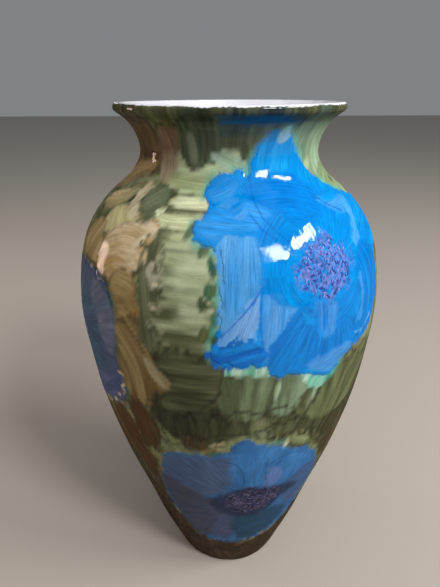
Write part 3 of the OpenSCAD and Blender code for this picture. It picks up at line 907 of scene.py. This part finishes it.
# The raised dabs of each centre: heart, reach across and up, number, their lean, and their colours.
CENTRES = [
    (FRONT_HEART, 14, 12.5, 290, 80,
     [LILAC, srgb(84, 132, 204), srgb(70, 110, 188), srgb(108, 112, 180), VIOLET, srgb(20, 104, 182)]),
    (LOWER_HEART, 14, 11, 150, 0, [srgb(84, 76, 106), srgb(62, 58, 88), INK]),
    (LEFT_HEART, 13, 13, 110, 60, [LILAC, DUSK, INK]),
    (GUESSED["right_flower"][0], 13, 13, 120, 0, [LILAC, VIOLET, INK]),
    (GUESSED["rear_flower"][0], 13, 13, 120, 0, [LILAC, VIOLET, INK]),
    (GUESSED["rear_lower_flower"][0], 12, 12, 110, 0, [srgb(120, 104, 150), VIOLET, INK]),
]


def paint(canvas):
    scatter_ground(canvas)
    paint_front_ground(canvas)
    paint_left_flower(canvas)
    paint_lower_flower(canvas)
    paint_front_flower(canvas)
    for flower in GUESSED.values():
        paint_guessed_flower(canvas, *flower)
    trim_lip(canvas)


# Where the green ends, in degrees round the lip's roll, and how much higher it ends at the left of the
# front. It climbs between the azimuths LEFT_TRIM, and it wanders by LIP_WANDER in long and short waves.
LIP_TRIM, LIP_CLIMB = 36, 20
LEFT_TRIM = (-14, -26)
LIP_WANDER = (20, 18)
# The ground under the lip darkens by LIP_SHADE between these distances below the top, in mm.
LIP_SHADE, SHADE_FROM, SHADE_TO = 0.55, 9, 5.5


def trim_lip(canvas):
    """Darkens the ground under the lip as painted shade, and ends it in a ragged line on the lip's roll,
    where the white glaze
    starts: high on the roll at the left of the front, and lower elsewhere."""
    turn = np.radians(canvas.azimuth)
    x, y = 12 * np.cos(turn), 12 * np.sin(turn)
    angle = np.degrees(np.arcsin(np.clip((canvas.z - LIP_CENTRE[1]) / LIP_R, -1, 1)))
    left = smooth(LEFT_TRIM[0], LEFT_TRIM[1], (canvas.azimuth + 180) % 360 - 180)
    wander = LIP_WANDER[0] * (noise(x, y, 3) - 0.5) + LIP_WANDER[1] * (noise(4 * x, 4 * y, 4) - 0.5)
    edge = LIP_TRIM + LIP_CLIMB * left + wander
    white = smooth(edge - 4, edge + 4, angle)[:, None]
    # Painted shade on the ground under the lip.
    dark = (LIP_SHADE * smooth(HEIGHT - SHADE_FROM, HEIGHT - SHADE_TO, canvas.z))[:, None]
    canvas.colour[:] = canvas.colour * (1 - dark) * (1 - white) + WHITE * white
    canvas.grain *= 1 - white[:, 0]


# ---------------------------------------------------------------- meshes

# Degrees round the lip's roll where the ground's mesh meets the lining's, and where the roll meets the
# lining's wall. The painted edge of the green lies a little below the seam of the meshes.
COAT_SEAM = 64
LIP_END = 128
# How far the flowers' paint stands above the ground, how far its underside sinks into it, and how far
# its skin reaches past the painted outline, in mm.
FLOWER_RAISE = 0.2
FLOWER_SINK = 0.15
SKIN_MARGIN = 0.25
# Rings and columns of points of the ground's front, and of the lining's.
GROUND_RINGS, GROUND_COLUMNS = 200, 392
LINING_RINGS, LINING_COLUMNS = 260, 288


def unevenness(azimuth, z):
    """How far a hand-made wall strays from true, in mm."""
    a = np.radians(azimuth)
    oval, three_sided = 0.16 * np.sin(2 * a + 0.7 + z / 70), 0.10 * np.sin(3 * a - z / 41)
    throwing_rings = 0.05 * np.sin(z / 9 + 2 * a)
    return oval + three_sided + throwing_rings


def mesh_object(name, points, faces, material, attributes=()):
    """A smooth shaded mesh from points in mm and arrays of faces, with its attributes at the points."""
    mesh = bpy.data.meshes.new(name)
    points = np.asarray(points, np.float32) * MM
    corners = np.concatenate([f.ravel() for f in faces]).astype(np.int32)
    sides = np.concatenate([np.full(len(f), f.shape[1]) for f in faces])
    starts = np.concatenate([[0], np.cumsum(sides)[:-1]]).astype(np.int32)
    mesh.vertices.add(len(points))
    mesh.vertices.foreach_set("co", points.ravel())
    mesh.loops.add(len(corners))
    mesh.loops.foreach_set("vertex_index", corners)
    mesh.polygons.add(len(starts))
    mesh.polygons.foreach_set("loop_start", starts)
    mesh.polygons.foreach_set("use_smooth", np.ones(len(starts), bool))
    mesh.update(calc_edges=True)
    mesh.validate()
    for label, kind, field, values in attributes:
        layer = mesh.attributes.new(label, kind, "POINT")
        layer.data.foreach_set(field, np.ascontiguousarray(values, np.float32).ravel())
    mesh.materials.append(material)
    piece = bpy.data.objects.new(name, mesh)
    bpy.context.scene.collection.objects.link(piece)
    return piece


def ring_quads(rows, columns, closed=True):
    """Quads between rings of points, in order. The last ring joins the first if closed."""
    i, k = np.meshgrid(np.arange(rows if closed else rows - 1), np.arange(columns), indexing="ij")
    j, m = (i + 1) % rows, (k + 1) % columns
    return np.stack([i * columns + k, i * columns + m, j * columns + m, j * columns + k], -1).reshape(-1, 4)


def column_azimuths(count):
    """Azimuths all round the vase, closer together at the front than behind."""
    t = np.arange(count) / count
    return 360 * t - math.degrees(0.3) * np.sin(2 * math.pi * t)


def placed(azimuth, radius, z):
    """Points at an azimuth, a distance from the axis and a height."""
    a = np.radians(azimuth)
    return np.stack([radius * np.sin(a), -radius * np.cos(a), z], 1)


def kept_places(line, reach=12.0, bend=6.0):
    """Which points of a line keep its shape: one every reach mm, or where it has bent by bend degrees."""
    along = np.diff(line, axis=0)
    heading = np.degrees(np.unwrap(np.arctan2(along[:, 1], along[:, 0])))
    length = np.linalg.norm(along, axis=1)
    kept, gone, bent = [0], 0.0, 0.0
    for i in range(1, len(line) - 1):
        gone += length[i - 1]
        bent += abs(heading[i] - heading[i - 1])
        if gone > reach or bent > bend:
            kept.append(i)
            gone = bent = 0.0
    return np.array(kept + [len(line) - 1])


def coat_points(line, lift, azimuths):
    """The points of a coat's front, a line turned round the axis and lifted by lift mm, then those of its
    back, which has fewer rings and lies COAT mm behind. The number of rings comes last."""
    normal = outward_normals(line)
    back = kept_places(line)[::-1]
    rings = np.concatenate([line, line[back] - COAT * normal[back]])
    normals = np.concatenate([normal, normal[back]])
    columns = len(azimuths)
    azimuth = np.tile(azimuths, len(rings))
    r, z = np.repeat(rings[:, 0], columns), np.repeat(rings[:, 1], columns)
    out = unevenness(azimuth, z)
    out[:len(lift)] += lift
    n = np.repeat(normals, columns, axis=0)
    return placed(azimuth, r + n[:, 0] * out, z + n[:, 1] * out), len(rings)


def painted_attributes(canvas, total=None):
    """A canvas as attributes of a mesh of total points. Its painted points come first, and those behind
    them, in the same order, take the same paint."""
    count = len(canvas.colour)
    tail = (total or count) - count
    colour = np.concatenate([canvas.colour, np.ones((count, 1))], 1)
    rows = [("paint", "FLOAT_COLOR", "color", colour), ("bristle", "FLOAT_VECTOR", "vector", canvas.bristle),
            ("grain", "FLOAT", "value", canvas.grain)]
    return [(label, kind, field, np.concatenate([v, v[:tail]]))
            for label, kind, field, v in rows]


def make_ground(material):
    """The green coat, from above the bare foot to the lip's outer edge."""
    rows, columns = GROUND_RINGS, GROUND_COLUMNS
    roll = np.array([on_roll(LIP_R, a) for a in np.linspace(LIP_JOIN, COAT_SEAM, 15)])[1:]
    outside = OUTLINE[OUTLINE_S > float(arc_at(BARE_FOOT))]
    line = np.concatenate([resampled(outside, rows - len(roll)), roll])
    azimuths = column_azimuths(columns)
    canvas = Canvas(np.tile(azimuths, rows), np.repeat(line[:, 1], columns))
    paint(canvas)
    lift = canvas.relief
    for loops in FLOWER_LOOPS.values():
        lift = lift * (1 - smooth(0.5, 2.5, loops_depth(canvas, loops)))
    points, rings = coat_points(line, lift, azimuths)
    attributes = painted_attributes(canvas, len(points))
    return mesh_object("green_ground_coat", points, [ring_quads(rings, columns)], material, attributes)


def make_lining(material):
    """The white coat: over the lip, down the inside and across the floor."""
    roll = [on_roll(LIP_R, a) for a in np.linspace(COAT_SEAM, LIP_END, 10)]
    inward = OUTLINE - outward_normals(OUTLINE) * (WALL_LOW + (WALL_LIP - WALL_LOW) * OUTLINE[:, 1:] / HEIGHT)
    bend_top = FLOOR_TOP + BEND_R * (1 - math.sin(math.radians(WALL_LEAN)))
    wall = [p for p, q in zip(inward[-16::-1], OUTLINE[-16::-1]) if q[1] > bend_top + 4]
    centre_r = float(np.interp(bend_top, inward[:, 1],
                               inward[:, 0])) - BEND_R * math.cos(math.radians(WALL_LEAN))
    bend = [(centre_r + BEND_R * math.cos(math.radians(a)),
             FLOOR_TOP + BEND_R * (1 + math.sin(math.radians(a))))
            for a in np.arange(-WALL_LEAN, -90, -5)]
    inside = resampled(np.array(wall + bend + [(centre_r, FLOOR_TOP), (2, FLOOR_TOP)]),
                       LINING_RINGS - len(roll))
    line = np.concatenate([roll, inside])
    columns = LINING_COLUMNS
    azimuths = np.arange(columns) * 360 / columns
    points, rings = coat_points(line, np.zeros(0), azimuths)
    quads = ring_quads(rings, columns)
    # The two rings next to the axis are closed by one face each, and not joined to each other.
    under_start = LINING_RINGS * columns
    hub_start = under_start - columns
    hub, under = hub_start + np.arange(columns), under_start + np.arange(columns)
    quads = np.concatenate([quads[:hub_start], quads[under_start:]])
    return mesh_object("white_lining", points, [quads, hub[None, :], under[None, ::-1]], material)


def loops_depth(canvas, loops):
    """How deep each point of a canvas lies inside any of some painted shapes, in mm: negative outside."""
    best = np.full(len(canvas.z), -99.0)
    for points, ragged, seed in loops:
        near, _, _, depth, _ = shape_depth(canvas, points, ragged, seed)
        best[near] = np.maximum(best[near], depth)
    return best


def one_piece(filled, start):
    """The cells of a grid that join start by whole edges. Where two cells met only at a corner, one goes."""
    while True:
        a, b, c, d = filled[:-1, :-1], filled[:-1, 1:], filled[1:, :-1], filled[1:, 1:]
        falling, rising = a & d & ~b & ~c, b & c & ~a & ~d
        if not (falling | rising).any():
            break
        filled[:-1, :-1] &= ~falling
        filled[:-1, 1:] &= ~rising
    reached = np.zeros_like(filled)
    reached[start] = True
    while True:
        grown = reached.copy()
        grown[1:] |= reached[:-1]
        grown[:-1] |= reached[1:]
        grown[:, 1:] |= reached[:, :-1]
        grown[:, :-1] |= reached[:, 1:]
        grown &= filled
        if (grown == reached).all():
            return reached
        reached = grown


def make_flower(name, heart, loops, pitch, material):
    """A flower's paint, as a thin skin of its own that is fine enough to carry each brush mark."""
    r0, s0 = float(radius_at(heart[1])), float(arc_at(heart[1]))
    edge = np.concatenate([np.array(points, float) for points, *_ in loops])
    across, up = np.radians(edge[:, 0] - heart[0]) * r0, arc_at(edge[:, 1]) - s0
    xs, ys = np.arange(across.min() - 4, across.max() + 4, pitch), np.arange(up.min() - 4, up.max() + 4,
                                                                             pitch)
    x, y = np.meshgrid(xs, ys)
    azimuth, height = heart[0] + np.degrees(x / r0), heights_at_arc(s0 + y)
    depth = loops_depth(Canvas(azimuth.ravel(), height.ravel()), loops).reshape(x.shape) + SKIN_MARGIN
    # Points next to the edge move onto it, so that it runs smoothly between the cells.
    slope_y, slope_x = np.gradient(depth, pitch)
    steep = np.maximum(slope_x ** 2 + slope_y ** 2, 0.3)
    beside = np.abs(depth) < 0.5 * pitch
    x = x - np.where(beside, depth * slope_x / steep, 0)
    y = y - np.where(beside, depth * slope_y / steep, 0)
    inside = (depth > 0) | beside
    deep = depth > 0.5 * pitch
    cells = inside[:-1, :-1] & inside[1:, :-1] & inside[:-1, 1:] & inside[1:, 1:]
    cells &= deep[:-1, :-1] | deep[1:, :-1] | deep[:-1, 1:] | deep[1:, 1:]
    cells = one_piece(cells, (int(-ys[0] / pitch), int(-xs[0] / pitch)))
    row, column = np.nonzero(cells)
    wide = x.shape[1]
    low = row * wide + column
    quads = np.stack([low, low + 1, low + wide + 1, low + wide], 1)
    used, quads = np.unique(quads, return_inverse=True)
    quads = quads.reshape(-1, 4)
    depth = np.where(beside, 0, depth).ravel()[used]
    azimuth, height = heart[0] + np.degrees(x.ravel()[used] / r0), heights_at_arc(s0 + y.ravel()[used])
    canvas = Canvas(azimuth, height)
    paint(canvas)
    top = canvas.relief + 0.04 + FLOWER_RAISE * smooth(0, 3, depth)
    count = len(used)
    points = np.concatenate([on_vase(azimuth, height, top), on_vase(azimuth, height, -FLOWER_SINK + 0 * top)])
    start, end = quads.ravel(), np.roll(quads, -1, axis=1).ravel()
    open_edge = ~np.isin(start * count + end, end * count + start)
    a, b = start[open_edge], end[open_edge]
    sides = np.stack([a + count, b + count, b, a], 1)
    faces = [quads, quads[:, ::-1] + count, sides]
    return mesh_object(name, points, faces, material, painted_attributes(canvas, 2 * count))


def on_vase(azimuth, height, lift):
    """Points lift mm out from the vase's outside."""
    nr, nz = np.interp(height, OUTLINE[:, 1], OUTLINE_N[:, 0]), np.interp(height, OUTLINE[:, 1],
                                                                          OUTLINE_N[:, 1])
    out = lift + unevenness(azimuth, height)
    return placed(azimuth, radius_at(height) + nr * out, height + nz * out)


# A raised dab: rings of (share of its length and width, share of its height), and an 8-sided ring's cap.
DAB_RINGS = [(1.0, -0.5), (0.92, 0.35), (0.6, 0.85), (0.25, 1.0)]
CAP = np.array([(0, 1, 2, 3), (0, 3, 4, 7), (4, 5, 6, 7)])


def make_centre_dabs(material):
    """The speckled centres: short raised dabs of lilac, violet and dark blue on each flower."""
    random = np.random.default_rng(11)
    points, faces, colours, bristles = [], [], [], []
    ring = 8 * len(DAB_RINGS)
    for heart, wide, tall, count, lean, tones in CENTRES:
        r0, s0 = float(radius_at(heart[1])), float(arc_at(heart[1]))
        for k in range(count):
            far = math.sqrt((k + 0.5) / count) * (0.9 + 0.2 * random.random())
            turn = k * 2.39996 + 0.5 * random.normal()
            x, y = wide * far * math.cos(turn), tall * far * math.sin(turn)
            a = math.radians(lean) + 0.8 * random.normal()
            length, width = 0.6 + 0.9 * random.random(), 0.28 + 0.27 * random.random()
            rise = 0.08 + 0.08 * random.random()
            tone = tones[int(random.integers(len(tones)))] * (0.85 + 0.3 * random.random())
            base = ring * (len(points))
            t = np.radians(np.arange(8) * 45 + 22.5)
            rows = []
            for share, up in DAB_RINGS:
                along, across = length * share * np.cos(t), width * share * np.sin(t)
                rows.append(np.stack([x + along * math.cos(a) - across * math.sin(a),
                                      y + along * math.sin(a) + across * math.cos(a), 0 * t + up * rise], 1))
            rows = np.concatenate(rows)
            points.append(np.stack([heart[0] + np.degrees(rows[:, 0] / r0), heights_at_arc(s0 + rows[:, 1]),
                                    rows[:, 2]], 1))
            faces += [ring_quads(len(DAB_RINGS), 8, closed=False) + base, CAP + base + ring - 8,
                      CAP[:, ::-1] + base]
            colours.append(np.tile(tone, (ring, 1)))
            bristles.append(np.stack([rows[:, 0], rows[:, 1], np.full(ring, float(k % 97))], 1))
    points = np.concatenate(points)
    surface = Canvas(points[:, 0], points[:, 1])
    paint(surface)
    place = on_vase(points[:, 0], points[:, 1], surface.relief + 0.04 + FLOWER_RAISE + points[:, 2])
    surface.colour, surface.bristle = np.concatenate(colours), np.concatenate(bristles)
    surface.grain = np.full(len(points), 0.5)
    return mesh_object("flower_centre_dabs", place, faces, material, painted_attributes(surface))


# ---------------------------------------------------------------- materials

def node_material(name, **look):
    """A material with a principled shader whose own sockets are set to look."""
    material = bpy.data.materials.new(name)
    material.use_nodes = True
    tree = material.node_tree
    shader = tree.nodes["Principled BSDF"]
    for socket, value in look.items():
        shader.inputs[socket.replace("_", " ")].default_value = value
    return material, tree, shader


def add(tree, kind, inputs=None, **settings):
    """A node with its settings and inputs. An input may be a value or another node's output."""
    node = tree.nodes.new(kind)
    for key, value in settings.items():
        setattr(node, key, value)
    for key, value in (inputs or {}).items():
        if isinstance(value, bpy.types.NodeSocket):
            tree.links.new(value, node.inputs[key])
        else:
            node.inputs[key].default_value = value
    return node


def noise_of(tree, vector, scale, detail=2.0, rough=0.5):
    return add(tree, "ShaderNodeTexNoise",
               {"Vector": vector, "Scale": scale, "Detail": detail, "Roughness": rough}).outputs["Fac"]


def spread(tree, value, low, high, to_low, to_high):
    """A value between low and high, spread over another range and kept inside it."""
    return add(tree, "ShaderNodeMapRange", {"Value": value, "From Min": low, "From Max": high,
                                            "To Min": to_low, "To Max": to_high}).outputs[0]


def combined(tree, a, b, kind="ADD"):
    return add(tree, "ShaderNodeMath", {0: a, 1: b}, operation=kind).outputs[0]


def two_tones(tree, value, low, high, dark, light):
    """A colour that goes from dark to light as value goes from low to high."""
    ramp = add(tree, "ShaderNodeValToRGB", {"Fac": value})
    for element, place, tone in zip(ramp.color_ramp.elements, (low, high), (dark, light)):
        element.position = place
        element.color = (*tone, 1)
    return ramp.outputs["Color"]


def shade(tree, shader, colour, light):
    """Gives the shader a base colour, made lighter or darker by light."""
    tint = add(tree, "ShaderNodeVectorMath", {0: colour, 1: light}, operation="MULTIPLY")
    tree.links.new(tint.outputs[0], shader.inputs["Base Color"])


def emboss(tree, shader, height, strength, distance, sockets=("Normal", "Coat Normal")):
    """Bumps the shader's surfaces by a height."""
    bump = add(tree, "ShaderNodeBump", {"Height": height, "Strength": strength, "Distance": distance})
    for socket in sockets:
        tree.links.new(bump.outputs[0], shader.inputs[socket])


def paint_material():
    """Glazed paint: the strokes' colours, streaked by the bristles, under a clear glossy glaze."""
    material, tree, shader = node_material(
        "glazed_paint", Roughness=0.5, Coat_Weight=0.12, Coat_Roughness=0.03, Coat_IOR=2.4,
        Specular_IOR_Level=0.0)
    colour = add(tree, "ShaderNodeAttribute", attribute_name="paint").outputs["Color"]
    bristle = add(tree, "ShaderNodeAttribute", attribute_name="bristle").outputs["Vector"]
    grain = add(tree, "ShaderNodeAttribute", attribute_name="grain").outputs["Fac"]
    drawn = add(tree, "ShaderNodeMapping", {"Vector": bristle, "Scale": (1.25, 0.07, 3.0)}).outputs[0]
    fine = noise_of(tree, drawn, 1.0, 3.0, 0.6)
    place = add(tree, "ShaderNodeTexCoord").outputs["Object"]
    pools = noise_of(tree, place, 110.0, 3.0)
    flecks = noise_of(tree, place, 900.0, 1.0)
    streak = combined(tree, spread(tree, fine, 0.28, 0.72, -0.3, 0.3), grain, "MULTIPLY")
    cloud = spread(tree, pools, 0.3, 0.7, 0.93, 1.08)
    light = combined(tree, streak, cloud)
    light = combined(tree, light, spread(tree, flecks, 0.3, 0.7, -0.03, 0.03))
    shade(tree, shader, colour, light)
    tree.links.new(spread(tree, pools, 0.3, 0.7, 0.3, 0.5), shader.inputs["Roughness"])
    emboss(tree, shader, streak, 0.35, 0.00006)
    return material


def white_material():
    """White glaze: faintly clouded, with a few fine dark specks and a slightly rippled gloss."""
    material, tree, shader = node_material(
        "white_glaze", Roughness=0.3, Coat_Weight=1.0, Coat_Roughness=0.04, Coat_IOR=1.5)
    place = add(tree, "ShaderNodeTexCoord").outputs["Object"]
    clouds = noise_of(tree, place, 40.0, 3.0)
    ripple = noise_of(tree, place, 160.0, 2.0)
    specks = noise_of(tree, place, 700.0, 0.0)
    tone = two_tones(tree, clouds, 0.3, 0.7, srgb(222, 218, 224), srgb(240, 239, 246))
    shade(tree, shader, tone, spread(tree, specks, 0.80, 0.86, 1.0, 0.45))
    tree.links.new(spread(tree, ripple, 0.3, 0.7, 0.22, 0.4), shader.inputs["Roughness"])
    emboss(tree, shader, ripple, 0.25, 0.0002)
    return material


def clay_material():
    """Bare fired clay: sandy, pitted and matt, darker where it has stood on shelves."""
    material, tree, shader = node_material("bare_clay", Roughness=0.9, Specular_IOR_Level=0.3)
    place = add(tree, "ShaderNodeTexCoord").outputs["Object"]
    sand = noise_of(tree, place, 1400.0, 2.0)
    clouds = noise_of(tree, place, 60.0, 4.0, 0.6)
    tone = two_tones(tree, clouds, 0.3, 0.72, srgb(96, 74, 50), srgb(150, 124, 92))
    shade(tree, shader, tone, spread(tree, sand, 0.3, 0.7, 0.78, 1.12))
    tree.links.new(spread(tree, clouds, 0.3, 0.7, 0.8, 0.97), shader.inputs["Roughness"])
    emboss(tree, shader, sand, 0.6, 0.0002, sockets=("Normal",))
    return material


# ---------------------------------------------------------------- the stage

# The camera: its place in metres, its lens and sensor in mm, how far it looks down, and its turn and roll
# in degrees.
CAMERA_PLACE = (0, -0.2444, 0.3052)
CAMERA_LENS, CAMERA_SENSOR = 27.05, 36
CAMERA_PITCH, CAMERA_TURN, CAMERA_ROLL = 24.73, 1.18, -0.22
# Each light: azimuth and elevation in degrees, distance, width and height in metres, watts and colour.
LIGHTS = {
    "window_left": (43, 41.5, 1.5, 0.29, 0.36, 13),
    "window_right": (74.5, 42, 1.5, 0.54, 0.155, 12),
    "overhead": (-10, 70, 2.4, 3.0, 3.0, 14),
    "warm_left": (-104, 4, 1.2, 0.14, 0.4, 3, (1.0, 0.72, 0.62)),
}
FLOOR_SIZE = 12
FLOOR_TONE = (0.46, 0.41, 0.35, 1)
SKY_TONE, SKY_STRENGTH = (0.72, 0.75, 0.8, 1), 0.3


def make_camera():
    """Close to the vase, a little above its rim, looking down at it."""
    camera = bpy.data.objects.new("camera", bpy.data.cameras.new("camera"))
    camera.data.lens = CAMERA_LENS
    camera.data.sensor_width = CAMERA_SENSOR
    camera.data.clip_start = 0.01
    turn = Matrix.Rotation(math.radians(CAMERA_TURN), 3, "Z")
    tilt = Matrix.Rotation(math.radians(90 - CAMERA_PITCH), 3, "X")
    roll = Matrix.Rotation(math.radians(CAMERA_ROLL), 3, "Z")
    camera.matrix_world = Matrix.Translation(CAMERA_PLACE) @ (turn @ tilt @ roll).to_4x4()
    bpy.context.scene.collection.objects.link(camera)
    bpy.context.scene.camera = camera


def make_light(name, azimuth, elevation, distance, width, height, watts, colour=(1, 1, 1)):
    """A rectangular light that faces the vase, at azimuth degrees from the front towards +X."""
    data = bpy.data.lights.new(name, "AREA")
    data.shape = "RECTANGLE"
    data.size, data.size_y, data.energy, data.color = width, height, watts, colour
    light = bpy.data.objects.new(name, data)
    a, e = math.radians(azimuth), math.radians(elevation)
    target = Vector((0, 0, 0.2))
    place = target + distance * Vector((math.sin(a) * math.cos(e), -math.cos(a) * math.cos(e), math.sin(e)))
    light.location = place
    light.rotation_euler = (target - place).to_track_quat("-Z", "Y").to_euler()
    bpy.context.scene.collection.objects.link(light)


def make_stage():
    """A pale floor, an even sky and the lights."""
    bpy.ops.mesh.primitive_plane_add(size=FLOOR_SIZE, location=(0, 0, 0))
    floor = bpy.context.object
    floor.name = "floor"
    material, _, shader = node_material("floor")
    shader.inputs["Base Color"].default_value = FLOOR_TONE
    shader.inputs["Roughness"].default_value = 0.7
    floor.data.materials.append(material)
    world = bpy.data.worlds.new("studio")
    bpy.context.scene.world = world
    world.use_nodes = True
    background = world.node_tree.nodes["Background"]
    background.inputs["Color"].default_value = SKY_TONE
    background.inputs["Strength"].default_value = SKY_STRENGTH
    bpy.context.scene.view_settings.view_transform = "Standard"
    for name, light in LIGHTS.items():
        make_light(name, *light)


make_camera()
make_stage()
glazed_paint = paint_material()

ground = make_ground(glazed_paint)
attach(ground, "root")
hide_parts("green_ground")

for node, (heart, pitch) in FLOWERS.items():
    flower = make_flower(node + "_paint", heart, FLOWER_LOOPS[node], pitch, glazed_paint)
    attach(flower, "root")
    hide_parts(node)

dots = make_centre_dabs(glazed_paint)
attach(dots, "root")
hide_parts("flower_centres")

lining = make_lining(white_material())
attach(lining, "root")
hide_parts("white_glaze")

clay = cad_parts["clay_body"].data
clay.materials.clear()
clay.materials.append(clay_material())
